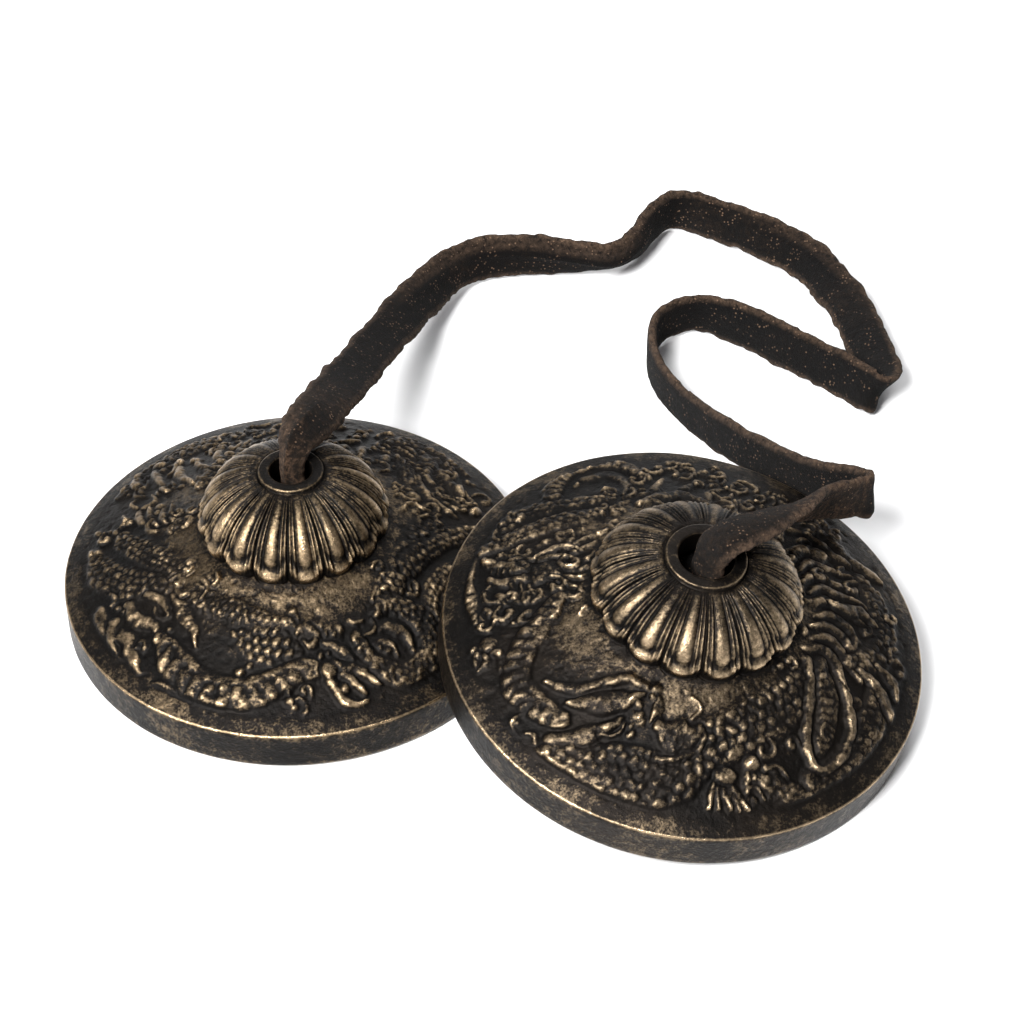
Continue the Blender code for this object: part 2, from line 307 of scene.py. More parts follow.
    def claw(self, x, y, heading, size, height=0.7, talons=4):
        """A foot: a palm with hooked talons spread about its heading, in degrees."""
        for k in range(talons):
            spread = math.radians(heading + (k - (talons - 1) / 2) * 34)
            bend = spread + math.radians(38 if k < talons / 2 else -38)
            mid = (x + 0.6 * size * math.cos(spread), y + 0.6 * size * math.sin(spread))
            tip = (mid[0] + 0.5 * size * math.cos(bend), mid[1] + 0.5 * size * math.sin(bend))
            self.ridge([(x, y, 0.16 * size), (*mid, 0.14 * size), (*tip, 0.03 * size)], height)
            knuckle = (x + 0.42 * size * math.cos(spread), y + 0.42 * size * math.sin(spread))
            self.dot(*knuckle, 0.15 * size, height * 1.1)
        self.dot(x, y, 0.27 * size, height)

    def head(self, x, y, heading, size, flip=1):
        """A generic beast's head seen from the side: horns, brow, eye, snout, open jaws and mane."""
        turn = math.radians(heading)

        def put(points):
            """From the head's own axes, in shares of its size, to the disc."""
            placed = []
            for px, py, w in points:
                py *= flip
                placed.append((
                    x + size * (px * math.cos(turn) - py * math.sin(turn)),
                    y + size * (px * math.sin(turn) + py * math.cos(turn)),
                    w * size,
                ))
            return placed

        for k in range(7):
            spread = -0.55 + 0.2 * k
            lock = [(-0.35, spread * 0.5, 0.06), (-0.75, spread, 0.07), (-1.15, spread * 1.5, 0.06),
                    (-1.3, spread * 1.5 + 0.2, 0.02)]
            self.ridge(put(lock), 0.62)
        self.scaled(put([(-0.45, -0.02, 0.34), (0.0, 0.0, 0.4), (0.3, 0.0, 0.3)]), 0.72, 1.0, bead=0.2)
        self.ridge(put([(0.1, 0.12, 0.2), (0.55, 0.16, 0.2), (0.85, 0.24, 0.14)]), 0.82)
        self.ridge(put([(0.05, -0.2, 0.14), (0.45, -0.3, 0.12), (0.75, -0.22, 0.07)]), 0.7)
        self.ridge(put([(0.8, 0.3, 0.12), (0.92, 0.34, 0.12)]), 0.95)
        self.ridge(put([(-0.05, 0.34, 0.08), (0.18, 0.4, 0.09), (0.4, 0.3, 0.05)]), 0.95)
        self.ridge(put([(-0.1, 0.36, 0.09), (-0.5, 0.62, 0.08), (-0.95, 0.6, 0.03)]), 0.85)
        self.ridge(put([(-0.2, 0.28, 0.08), (-0.6, 0.4, 0.07), (-1.0, 0.3, 0.03)]), 0.8)
        self.dot(*put([(0.16, 0.22, 0)])[0][:2], 0.11 * size, 1.0)
        for k in range(4):
            px = 0.38 + 0.12 * k
            self.ridge(put([(px, 0.04, 0.035), (px + 0.02, -0.1, 0.012)]), 0.7, samples=6)
        for k in range(3):
            py = -0.34 - 0.02 * k
            self.ridge(put([(0.3 - 0.2 * k, py, 0.05), (0.25 - 0.25 * k, py - 0.28, 0.05),
                            (0.1 - 0.25 * k, py - 0.4, 0.015)]), 0.6)

    def fill(self, seed, count, plain, inner=15.6, outer=31.4):
        """Small curls, beads and flames wherever the ground is still bare, but for the plain places."""
        rng = np.random.default_rng(seed)
        for _ in range(count):
            angle, r = rng.uniform(0, TURN), math.sqrt(rng.uniform(inner**2, outer**2))
            x, y = r * math.cos(angle), r * math.sin(angle)
            size, way, start = rng.uniform(0.9, 1.9), rng.choice([-1.0, 1.0]), rng.uniform(0, TURN)
            kind = rng.random()
            if any(math.hypot(x - px, y - py) < pr for px, py, pr in plain):
                continue
            close = (self.x - x) ** 2 + (self.y - y) ** 2 < size**2
            if not close.any() or self.h[close].mean() > 0.2:
                continue
            if kind < 0.45:
                self.curl(x, y, size, way, start, rng.uniform(0.45, 0.65))
            elif kind < 0.7:
                self.dot(x, y, 0.45 * size, 0.55)
                self.dot(x + 0.8 * size * math.cos(start), y + 0.8 * size * math.sin(start), 0.3 * size, 0.45)
            else:
                ends = []
                for k in (-1.2, -0.4, 0.4, 1.2):
                    turn = start + 0.5 * k * way
                    place = (x + size * k * math.cos(turn), y + size * k * math.sin(turn))
                    ends.append((*place, 0.4 - 0.12 * abs(k)))
                self.ridge(ends, 0.55)


def draw_left(relief):
    """The left face: a long ribbed body in front, with scaly coils, claws, clouds and a head behind."""
    relief.scaled([(-30, 1, 1.2), (-28, -5, 2.6), (-24, -8.5, 2.8), (-19, -10.5, 1.8)], 0.5, 1.35)
    relief.scaled([(-26, 2, 1.4), (-22.5, -2.5, 2.2), (-19, -6, 1.8), (-16.2, -9.5, 1.2)], 0.5, 1.2)
    for x, y, size, way in ((-28.5, 3.2, 1.7, 1), (-25.5, 5.8, 1.4, -1), (-29.5, -1.5, 1.5, 1),
                            (-19.5, -3.5, 1.6, -1)):
        relief.curl(x, y, size, way, 0.8, 0.65)
    for k in range(4):
        relief.ridge([(-24.2 + 1.7 * k, 7.2 - 0.3 * k, 0.35), (-23.6 + 1.6 * k, 5 - 0.4 * k, 0.75),
                      (-22.4 + 1.4 * k, 2.9 - 0.3 * k, 0.4)], 0.6)
    # a mane and paw at the back left
    relief.scaled([(-27.5, 14, 1.6), (-25, 19, 2.6), (-20, 23, 2.8), (-14.5, 25.5, 2.2)], 0.55, 1.4)
    for x0, y0, x1, y1 in ((-25.6, 18, -24.2, 12.2), (-22.6, 19.4, -20.4, 12.0), (-19.4, 18.6, -16.6, 10.8),
                           (-16.2, 18.4, -13.6, 13.0)):
        relief.ridge([(x0, y0, 1.0), ((x0 + x1) / 2 - 0.7, (y0 + y1) / 2, 1.0), (x1, y1, 0.3)], 0.72)
        relief.dot(x0 + 0.1, y0 + 0.3, 1.15, 0.8)
    # a band of clouds along the far rim
    for k in range(12):
        angle = math.radians(140 - 8.4 * k)
        r = 27.6 + 1.8 * (k % 2)
        relief.curl(r * math.cos(angle), r * math.sin(angle), 1.9, 1 - 2 * (k % 2), angle + 2.4, 0.62, 0.5)
    for k in range(9):
        angle = math.radians(132 - 10 * k)
        inner, outer = 18.5 + (k % 3), 24.8
        relief.ridge([(inner * math.cos(angle), inner * math.sin(angle), 0.5),
                      (22.2 * math.cos(angle + 0.05), 22.2 * math.sin(angle + 0.05), 0.85),
                      (outer * math.cos(angle - 0.04), outer * math.sin(angle - 0.04), 0.35)], 0.55)
    # the head at the back right, looking in over the rim
    relief.head(20.5, 17.5, -75, 6.4)
    relief.scaled([(13, 24.5, 1.3), (16.5, 26, 2.2), (21, 24.8, 2.4), (25.5, 20, 1.8)], 0.6, 1.25)
    for k in range(5):
        relief.ridge([(14.2 + 0.9 * k, 19.5 - 1.3 * k, 0.45), (15.4 + 0.9 * k, 13.4 - 1.1 * k, 0.7),
                      (17.6 + 1.0 * k, 8.8 - 0.5 * k, 0.6), (20.2 + 0.9 * k, 6.4 - 0.2 * k, 0.25)], 0.62)
    relief.claw(26.5, 8.6, 150, 4.2)
    # the coil on the right
    relief.scaled([(26.5, 3.5, 1.2), (22.5, 0.5, 1.9), (18.4, -4.5, 2.1), (15.2, -10, 2.0),
                   (13.2, -14.6, 1.7)], 0.66, 1.3)
    relief.scaled([(26, -3, 1.2), (22.6, -7.5, 1.9), (20.4, -12, 1.7), (20.8, -16, 1.3)], 0.55, 1.25)
    relief.scaled([(12.4, -16.4, 1.0), (14.4, -14.9, 1.6), (18, -15.4, 1.9), (20.4, -18.8, 1.9),
                   (19.6, -22.6, 1.8),
                   (16.2, -24.8, 1.7), (12.4, -23.4, 1.5), (10.4, -20.6, 1.0)], 0.66, 1.2)
    relief.ridge([(12.2, -18.9, 0.6), (14.6, -17.8, 0.9), (17.2, -18.8, 0.7), (17.6, -21.2, 0.4)], 0.5)
    relief.ridge([(12.6, -20.8, 0.4), (14.6, -20.2, 0.6), (15.6, -22.0, 0.35)], 0.5)
    # the back of the coil, and its scaly hip
    relief.scaled([(-15.6, -12.6, 0.7), (-12.4, -15.2, 1.3), (-8.2, -16.9, 1.5), (-4.8, -18.6, 1.5),
                   (-1.4, -19.5, 1.3),
                   (3.0, -19.9, 1.3), (7.4, -19.9, 1.1)], 0.52, 1.15)
    relief.scaled([(-7.6, -20.0, 0.9), (-4.4, -21.6, 2.4), (-1.2, -22.6, 2.2), (1.8, -23.1, 0.8)], 0.3, 1.45,
                  bead=0.5)
    relief.ridge([(1.2, -21.0, 0.4), (2.4, -20.2, 0.8), (4.4, -21.0, 0.8), (3.4, -22.4, 0.5),
                  (2.2, -21.6, 0.25)], 0.6)
    relief.ridge([(5.4, -21.8, 0.5), (8.4, -22.6, 0.8), (11.2, -24.4, 0.7)], 0.6)
    relief.leaf([(-17.2, -12.4, 0.2), (-15.4, -15.6, 1.5), (-14.2, -18.8, 0.9), (-13.2, -21.8, 0.15)], 0.6)
    # forked claws at the left edge
    for line in (
        [(-28.4, -12.0, 1.1), (-26.6, -15.6, 1.4), (-23.6, -17.6, 1.1), (-22.6, -20.4, 0.9),
         (-21.4, -23.4, 0.35)],
        [(-26.0, -14.2, 0.8), (-25.8, -17.8, 0.8), (-24.2, -20.6, 0.25)],
        [(-24.0, -12.6, 1.2), (-22.4, -15.4, 1.1), (-19.6, -17.2, 0.9), (-19.2, -20.2, 0.35)],
        [(-21.0, -11.6, 0.7), (-18.8, -13.4, 0.8), (-17.6, -15.8, 0.3)],
    ):
        relief.ridge(line, 0.78)
    # the long ribbed body in front, and its hooked hand
    relief.ribbed([(-18.6, -19.4, 1.1), (-16.6, -22.6, 1.9), (-13.8, -25.8, 2.4), (-9.8, -28.2, 2.6),
                   (-5.4, -28.9, 2.5),
                   (-1.2, -27.4, 2.2), (2.6, -25.6, 1.7), (6.2, -25.4, 1.2)], 0.90, 2.1)
    relief.ridge([(5.6, -25.6, 0.9), (7.4, -28.2, 0.9), (9.8, -29.8, 0.8), (12.0, -29.0, 0.3)], 0.85)
    relief.ridge([(6.6, -25.0, 1.0), (9.4, -26.0, 0.9), (11.6, -27.9, 0.3)], 0.85)
    relief.ridge([(7.0, -24.4, 0.8), (10.6, -24.9, 0.8), (13.6, -26.6, 0.3)], 0.75)
    relief.dot(6.2, -25.4, 1.3, 0.95)
    relief.dot(8.6, -27.6, 0.75, 0.7)
    relief.ridge([(-19.6, -25.2, 0.2), (-17.6, -25.9, 0.5), (-15.4, -28.0, 0.2)], 0.5)
    relief.fill(11, 420, [(-4, -16, 2.6), (4, -16.2, 2.4), (9, -15.4, 2.6), (-9, -20.5, 4.2),
                          (-10.5, -23.5, 2.4),
                          (6, -28.6, 3.0), (-2, -31.5, 2.2), (-24, -24, 5.0), (-30, -11, 3.5),
                          (16.5, -28, 4.5),
                          (-17, 7.5, 3.0), (-20, 8.5, 1.8), (-30, 9.5, 4.0), (27, -13, 2), (16, 1.5, 2.4)])


def draw_right(relief):
    """The right face: a great scaly coil along the front, with a ribbed tail, limbs, leaves and manes."""
    # the tail's arch at the back left
    relief.ribbed([(-19.6, 18.8, 1.3), (-19.4, 23.0, 1.6), (-17.2, 27.6, 1.7), (-13.0, 30.0, 1.6),
                   (-8.4, 28.6, 1.5),
                   (-5.4, 25.8, 1.0)], 0.78, 1.35)
    for k in range(8):
        angle = math.radians(98 - 9.5 * k)
        r = 29.0 - 1.4 * (k % 2)
        relief.curl(r * math.cos(angle), r * math.sin(angle), 2.1, 1 - 2 * (k % 2), angle + 1.2, 0.68, 0.55)
    for k in range(7):
        angle = math.radians(100 - 11 * k)
        relief.ridge([(18.4 * math.cos(angle), 18.4 * math.sin(angle), 0.5),
                      (21.4 * math.cos(angle + 0.06), 21.4 * math.sin(angle + 0.06), 0.95),
                      (25.2 * math.cos(angle - 0.05), 25.2 * math.sin(angle - 0.05), 0.4)], 0.62)
    relief.ridge([(-7.2, 17.6, 0.8), (-4.4, 19.2, 1.5), (-0.6, 20.4, 1.3), (3.0, 18.6, 0.7)], 0.72)
    relief.ridge([(-14.5, 26.0, 0.6), (-11.0, 26.2, 1.2), (-8.6, 23.4, 1.0), (-9.0, 20.6, 0.4)], 0.45)
    # the head on the left, and the mane behind it
    relief.scaled([(-29.4, 10.6, 1.1), (-24.5, 12.9, 1.6), (-18.5, 14.6, 1.8), (-13.2, 15.8, 1.3)], 0.62,
                  1.15)
    relief.scaled([(-26.5, 16.8, 1.2), (-22.6, 18.4, 1.7), (-17.0, 18.8, 1.6), (-11.6, 19.4, 1.0)], 0.55,
                  1.25)
    relief.head(-23.2, 5.0, 168, 6.6, flip=-1)
    relief.ribbed([(-30.6, 9.0, 0.9), (-31.2, 4.5, 1.0), (-30.8, 0.0, 0.9), (-29.4, -3.6, 0.6)], 0.6, 1.1)
    for x, y, size, way in ((-24.4, 17.4, 1.9, 1), (-19.5, 1.0, 1.8, -1), (-17.2, 5.2, 1.4, 1),
                            (-26.2, -1.8, 1.7, 1),
                            (-17.8, 10.2, 1.6, -1)):
        relief.curl(x, y, size, way, 2.0, 0.7, 0.5)
    relief.claw(-28.2, -6.4, 250, 4.6)
    # the ribbed body that winds down from it
    relief.ribbed([(-19.2, -1.6, 1.2), (-21.4, -4.6, 1.9), (-24.0, -8.6, 2.1), (-24.6, -13.0, 2.1),
                   (-22.0, -16.8, 2.0),
                   (-18.6, -19.6, 1.3)], 0.86, 1.6)
    # smooth limbs over plain ground
    relief.ridge([(-20.6, -13.6, 0.5), (-16.4, -15.2, 1.0), (-11.6, -14.9, 0.8), (-7.6, -15.6, 0.7),
                  (-5.6, -18.0, 0.8),
                  (-6.4, -20.4, 0.4)], 0.6, samples=50)
    relief.ridge([(-17.8, -17.0, 0.5), (-14.2, -17.6, 1.7), (-10.6, -17.6, 1.3), (-7.4, -17.0, 0.4)], 0.78,
                 samples=40)
    relief.ridge([(-19.6, -22.4, 1.3), (-16.4, -22.4, 1.5), (-13.2, -21.4, 1.0), (-10.6, -19.9, 0.5)], 0.72,
                 samples=40)
    # the great coil along the front
    relief.scaled([(-20.8, -24.0, 1.2), (-16.2, -26.0, 3.0), (-10.6, -27.4, 4.2), (-5.0, -27.6, 4.1),
                   (-0.4, -24.8, 3.5),
                   (4.2, -21.6, 3.2), (9.0, -18.9, 3.4), (13.0, -15.4, 3.2), (16.0, -11.6, 2.4)], 0.72, 1.62,
                   110, 0.42)
    relief.leaf([(-5.4, -21.2, 0.9), (-3.2, -22.4, 2.4), (-1.0, -22.6, 2.3), (0.2, -21.6, 1.0)], 0.92, 0.95)
    relief.ridge([(-5.6, -24.6, 0.35), (-2.8, -25.1, 0.5), (0.4, -24.2, 0.4), (1.2, -22.0, 0.3)], 0.95)
    for k in range(5):
        angle = math.radians(-106 + 15 * k)
        root = (3.2 + 0.4 * k, -27.0 - 0.2 * k)
        relief.ridge([(*root, 0.3), (root[0] + 1.8 * math.cos(angle), root[1] + 1.8 * math.sin(angle), 0.6),
                      (root[0] + 3.8 * math.cos(angle), root[1] + 3.8 * math.sin(angle), 0.35)], 0.85)
    relief.dot(4.2, -26.6, 1.3, 0.9)
    relief.claw(8.0, -24.6, -60, 4.4)
    relief.scaled([(9.6, -26.6, 1.0), (13.0, -27.4, 1.7), (16.6, -27.4, 1.5), (18.8, -25.6, 0.8)], 0.7, 1.2)
    # the oval loop and the scaly flank outside it
    relief.scaled([(26.6, -9.6, 1.0), (26.0, -14.0, 2.0), (23.8, -18.8, 2.2), (20.4, -23.0, 2.1),
                   (16.2, -25.2, 1.4)], 0.62, 1.3)
    relief.ridge([(15.6, -8.4, 0.7), (16.0, -13.0, 0.8), (15.4, -18.0, 0.8), (15.8, -22.2, 0.8),
                  (18.4, -23.6, 0.8),
                  (21.6, -20.0, 0.8), (22.4, -14.6, 0.8), (20.8, -9.4, 0.7)], 0.86, samples=70)
    relief.ribbed([(17.8, -8.6, 1.0), (18.8, -13.0, 1.6), (18.6, -17.4, 1.6), (17.8, -20.8, 0.9)], 0.7, 1.25)
    relief.curl(18.6, -18.4, 1.5, 1, 0.4, 0.8)
    # manes and flames on the right
    for k in range(9):
        angle = math.radians(-24 + 7.0 * k)
        root, tip = 16.6 + 0.6 * (k % 2), 24.6 + 1.4 * (k % 3)
        relief.ridge([(root * math.cos(angle), root * math.sin(angle), 0.35),
                      (20.2 * math.cos(angle + 0.08), 20.2 * math.sin(angle + 0.08), 0.95),
                      (tip * math.cos(angle - 0.05), tip * math.sin(angle - 0.05), 0.3)], 0.68)
    relief.scaled([(22.0, -6.6, 1.0), (26.6, -4.2, 1.8), (28.6, 0.8, 2.2), (28.0, 6.2, 2.0),
                   (25.6, 10.4, 1.2)], 0.62, 1.25)
    relief.ridge([(24.2, -7.0, 0.5), (26.8, -8.6, 1.0), (28.6, -11.6, 1.2), (29.2, -14.2, 0.4)], 0.85)
    relief.ridge([(27.0, -5.2, 0.4), (29.4, -6.8, 0.9), (30.6, -9.6, 0.35)], 0.8)
    relief.ridge([(19.6, 3.0, 0.4), (22.4, 2.4, 1.1), (25.0, 2.8, 0.9), (27.4, 1.4, 0.3)], 0.92)
    relief.ridge([(19.0, 19.6, 0.8), (22.4, 16.0, 1.3), (26.4, 12.6, 1.1), (29.4, 11.4, 0.4)], 0.88)
    relief.ridge([(17.4, 16.8, 0.6), (20.6, 14.2, 1.0), (24.4, 12.2, 0.4)], 0.7)
    relief.dot(19.0, 12.6, 1.5, 0.6)
    for x, y, size, way in ((22.8, 18.6, 1.8, 1), (29.4, 4.4, 1.5, -1), (24.0, 7.2, 1.7, 1),
                            (30.0, -2.6, 1.4, 1),
                            (22.6, -3.2, 1.6, -1), (18.6, 7.6, 1.5, 1)):
        relief.curl(x, y, size, way, 1.0, 0.74, 0.5)
    relief.fill(23, 420, [(-17, -9, 5.0), (-13, -12.6, 3.2), (-8.6, -13.6, 2.4), (-3, -17.6, 2.6),
                          (3, -17.2, 2.6),
                          (9.6, -14.2, 2.2), (-25.5, -24, 4.0), (-30.5, -12, 3.4), (2, -31.5, 3.0),
                          (24, -24.5, 3.2),
                          (-13.6, 22.8, 2.6), (-25, 24, 3.4), (28, 17, 3)])


# === The castings =========================================================================================

def disc_height(r):
    return RIM_H + DISC_SLOPE * (RIM_R - r)


def blurred(h, rows, columns):
    """Heights averaged over a few rows and columns of the round grid."""
    for _ in range(2):
        h = sum(np.roll(h, k, axis=1) for k in range(-columns, columns + 1)) / (2 * columns + 1)
        padded = np.pad(h, ((rows, rows), (0, 0)), mode="edge")
        h = sum(padded[k:k + h.shape[0]] for k in range(2 * rows + 1)) / (2 * rows + 1)
    return h


def petal_section(across):
    """Height over a petal, from its middle (0) to the groove between petals (1), in millimetres."""
    broad = np.clip(1.0 - (across / 0.40) ** 2, 0.0, 1.0) ** 0.6 * 0.40
    ribs = 0.36 * bump_at(across, 0.60, 0.075) + 0.34 * bump_at(across, 0.84, 0.065)
    valley = -0.34 * smoothstep(0.90, 1.0, across)
    return broad + ribs + valley - 0.16


def dome_height(r, sizes):
    share = np.clip(1.0 - (r / sizes["dome"]) ** DOME_FULLNESS, 0.0, 1.0)
    return DOME_BASE_Z + sizes["height"] * share ** (1.0 / DOME_FULLNESS)


def casting_rows(side, draw):
    """The whole closed surface as rows of (r, z, wear with painted highlight), each an array round the hole
    axis.
    """
    sizes = SIZES[side]
    outer, hole, dome_r = sizes["collar"], sizes["hole"], sizes["dome"]
    collar_z = DOME_BASE_Z + sizes["height"] - 0.1
    seed = 5 if side == "left" else 9
    angle = np.arange(ROUND_STEPS) / ROUND_STEPS * TURN
    cos, sin = np.cos(angle), np.sin(angle)
    across = np.abs((angle / TURN * PETALS) % 1.0 - 0.5) * 2.0
    rows = []

    def row(r, z, wear_and_painted_highlight):
        rows.append([np.broadcast_to(np.asarray(value, float), angle.shape).copy() for value in (r, z, wear_and_painted_highlight)])

    # under the casting, from the striking ring up the hollow to the hole
    hollow = [(STRIKE_R, 0.0), (29.2, 0.35), (27.5, 2.0), (25.0, 3.9), (22.5, 5.6), (17.0, 9.6), (12.5, 13.4),
              (9.8, 17.2), (6.6, 19.8), (hole + 0.4, 20.3), (hole, 20.8)]
    for r, z in hollow:
        rough = 0.12 * (layered_noise(r * cos, r * sin, 3.0, seed + 40) - 0.5)
        row(r, z + (rough if z > 0 else 0), 0.22 + (0.3 if z == 0.0 else 0.0))
    # the hole and the flat collar ring round it
    for r, z, wear_and_painted_highlight in (
        (hole, 22.6, -0.1), (hole, collar_z - 0.30, 0.0), (hole + 0.08, collar_z - 0.08, 0.40),
        (hole + 0.30, collar_z, 0.14), ((hole + outer) / 2, collar_z, 0.04),
        (outer - 0.30, collar_z, 0.16), (outer - 0.08, collar_z - 0.08, 0.62),
        (outer, collar_z - 0.30, 0.25), (outer + 0.10, collar_z - 1.25, -0.1),
    ):
        row(r, z, wear_and_painted_highlight)
    # the dome, whose petals end in round lobes over the disc
    first, last = outer + 0.35, 0.9985 * dome_r
    for k in range(DOME_ROWS):
        share = k / (DOME_ROWS - 1)
        r = first + (last - first) * math.sin(0.5 * math.pi * share) ** 0.92
        z = float(dome_height(r, sizes))
        rise = (float(dome_height(r + 0.01, sizes)) - float(dome_height(r - 0.01, sizes))) / 0.02
        tilt = math.atan2(-rise, 1.0)
        fade_in = smoothstep(0.0, 0.10, share)
        depth = petal_section(across) * fade_in * (0.6 + 0.4 * smoothstep(0.0, 0.5, share))
        tip = smoothstep(0.80, 0.95, share)
        reach = np.clip(1.0 - across**2.8, 0.0, 1.0)
        arch = across**2.2
        lip = 0.34 * np.exp(-(((share - 0.90 + 0.16 * arch) / 0.045) ** 2)) * (1 - across**5)
        inside_lip = -0.36 * np.exp(-(((share - 0.79 + 0.20 * arch) / 0.04) ** 2)) * (1 - across**5)
        depth = depth * (1 - 0.85 * tip) + lip + inside_lip - tip * 0.85 * (1 - reach)
        # More gold from the dome's middle down towards its foot, partly rubbing and partly a painted
        # highlight for the lit dome.
        wear_and_painted_highlight = 0.20 + 1.45 * depth + 0.24 * smoothstep(0.20, 0.60, share)
        wear_and_painted_highlight = wear_and_painted_highlight - 0.30 * smoothstep(0.93, 1.0, share)
        row(r + depth * math.sin(tilt), z + depth * math.cos(tilt), wear_and_painted_highlight)
    base_r = rows[-1][0] - 0.12
    row(base_r, disc_height(dome_r) - 0.1, -0.1)
    # the disc and its relief
    share = np.linspace(0.012, 1.0, DISC_ROWS)[:, None]
    radius = base_r[None, :] * (1 - share) + RELIEF_EDGE_R * share
    x, y = radius * cos[None, :], radius * sin[None, :]
    relief = Relief(x, y, seed)
    draw(relief)
    fine = 0.35 * blurred(relief.h, 1, 1) + 0.65 * relief.h
    chips = layered_noise(relief.x, relief.y, 0.9, seed + 20) - 0.5
    pits = -0.16 * smoothstep(0.66, 0.80, value_noise(x, y, 0.75, seed + 30))
    worn = MOST_RELIEF * np.tanh(np.clip(fine, -0.5, 3.0) / MOST_RELIEF * 1.12)
    keep = smoothstep(RELIEF_EDGE_R + 0.1, RELIEF_EDGE_R - 0.7, radius)
    keep = keep * smoothstep(dome_r + 0.1, dome_r + 0.9, radius)
    ground = 0.12 * (layered_noise(x, y, 2.2, seed) - 0.5) + 0.06 * (layered_noise(x, y, 0.7, seed + 7) - 0.5)
    raised = worn * keep
    height = raised * (1 + 0.35 * chips) + 0.30 * chips * smoothstep(0.1, 0.6, raised) + ground + pits * 0.5
    proud = height - blurred(height, 3, 4)
    broad = height - blurred(height, 7, 9)
    mottle = layered_noise(x, y, 6.0, seed + 50) - 0.5
    bare = 0.26 * smoothstep(26.0, 19.0, radius) * smoothstep(0.35, 0.0, worn)
    for k in range(DISC_ROWS):
        r, h = radius[k], height[k]
        near_dome = -0.22 * bump_at(r, dome_r, 0.8)
        wear_and_painted_highlight = 0.13 + 1.35 * proud[k] + 0.22 * broad[k] + 0.04 * h + 0.42 * mottle[k] + bare[k] + near_dome
        row(r + 0.42 * h, disc_height(r) + 0.91 * h - 0.12, wear_and_painted_highlight)
    # the plain band and the rim, whose top edge is rubbed and also painted lighter as a highlight line
    wobble = layered_noise(20 * cos, 20 * sin, 5.0, seed + 3) - 0.5
    blotches = 0.30 * (layered_noise(35 * cos, 35 * sin, 4.0, seed + 4) - 0.5)
    for r, z, wear_and_painted_highlight in (
        (32.6, disc_height(32.6) - 0.05, 0.18), (33.4, disc_height(33.4) - 0.03, 0.24),
        (34.2, RIM_H + 0.30, 0.28),
        # the rim's top edge: partly real rubbing, partly a painted highlight line
        (34.66, RIM_H + 0.10, 0.30), (34.84, RIM_H + 0.01, 0.85), (34.93, RIM_H - 0.08, 0.85),
        (35.0, RIM_H - 0.28, 0.34), (35.0, RIM_H - 0.8, 0.20),
        (35.0, 4.2, 0.20), (35.0, 3.2, 0.20), (35.0, 2.1, 0.20), (35.0, 1.1, 0.20), (35.0, 0.5, 0.30),
        (34.85, 0.15, 0.55), (34.5, 0.0, 0.40), (32.5, 0.0, 0.36),
    ):
        uneven = 0.10 * wobble if 0 < z < RIM_H + 0.2 else 0.0
        patchy = 0.5 if r == RIM_R else 1.0
        row(r + uneven - 0.05, z, wear_and_painted_highlight + blotches * patchy)
    return rows, angle


def casting(side, draw, place, look):
    """One cymbal as one closed mesh of quads."""
    rows, angle = casting_rows(side, draw)
    r, z, wear_and_painted_highlight = (np.array([row[k] for row in rows]) for k in range(3))
    count, steps = r.shape
    points = np.stack([r * np.cos(angle), r * np.sin(angle), z], -1).reshape(-1, 3) * MM
    i = np.arange(count)[:, None]
    j = np.arange(steps)[None, :]
    here, up = i * steps + j, ((i + 1) % count) * steps + j
    right, across = i * steps + (j + 1) % steps, ((i + 1) % count) * steps + (j + 1) % steps
    quads = np.stack([here, right, across, up], -1).reshape(-1, 4)
    mesh = bpy.data.meshes.new(side + "_casting")
    mesh.from_pydata(points.tolist(), [], quads[:, ::-1].tolist())
    layer = mesh.attributes.new("wear_and_painted_highlight", "FLOAT", "POINT")
    layer.data.foreach_set("value", wear_and_painted_highlight.reshape(-1).astype(np.float32))
    mesh.shade_smooth()
    mesh.materials.append(look)
    obj = bpy.data.objects.new(side + "_casting", mesh)
    bpy.context.scene.collection.objects.link(obj)
    mesh.transform(place)
    mesh.update()
    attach(obj, side + "_cymbal")
    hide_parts(side + "_cymbal")
    return obj


def right_place():
    turn = Matrix.Rotation(LEAN_TOWARDS, 4, "Z")
    return Matrix.Translation(RIGHT_CENTRE) @ turn @ Matrix.Rotation(LEAN, 4, "Y") @ turn.inverted()


# === The strap and its knots ==============================================================================

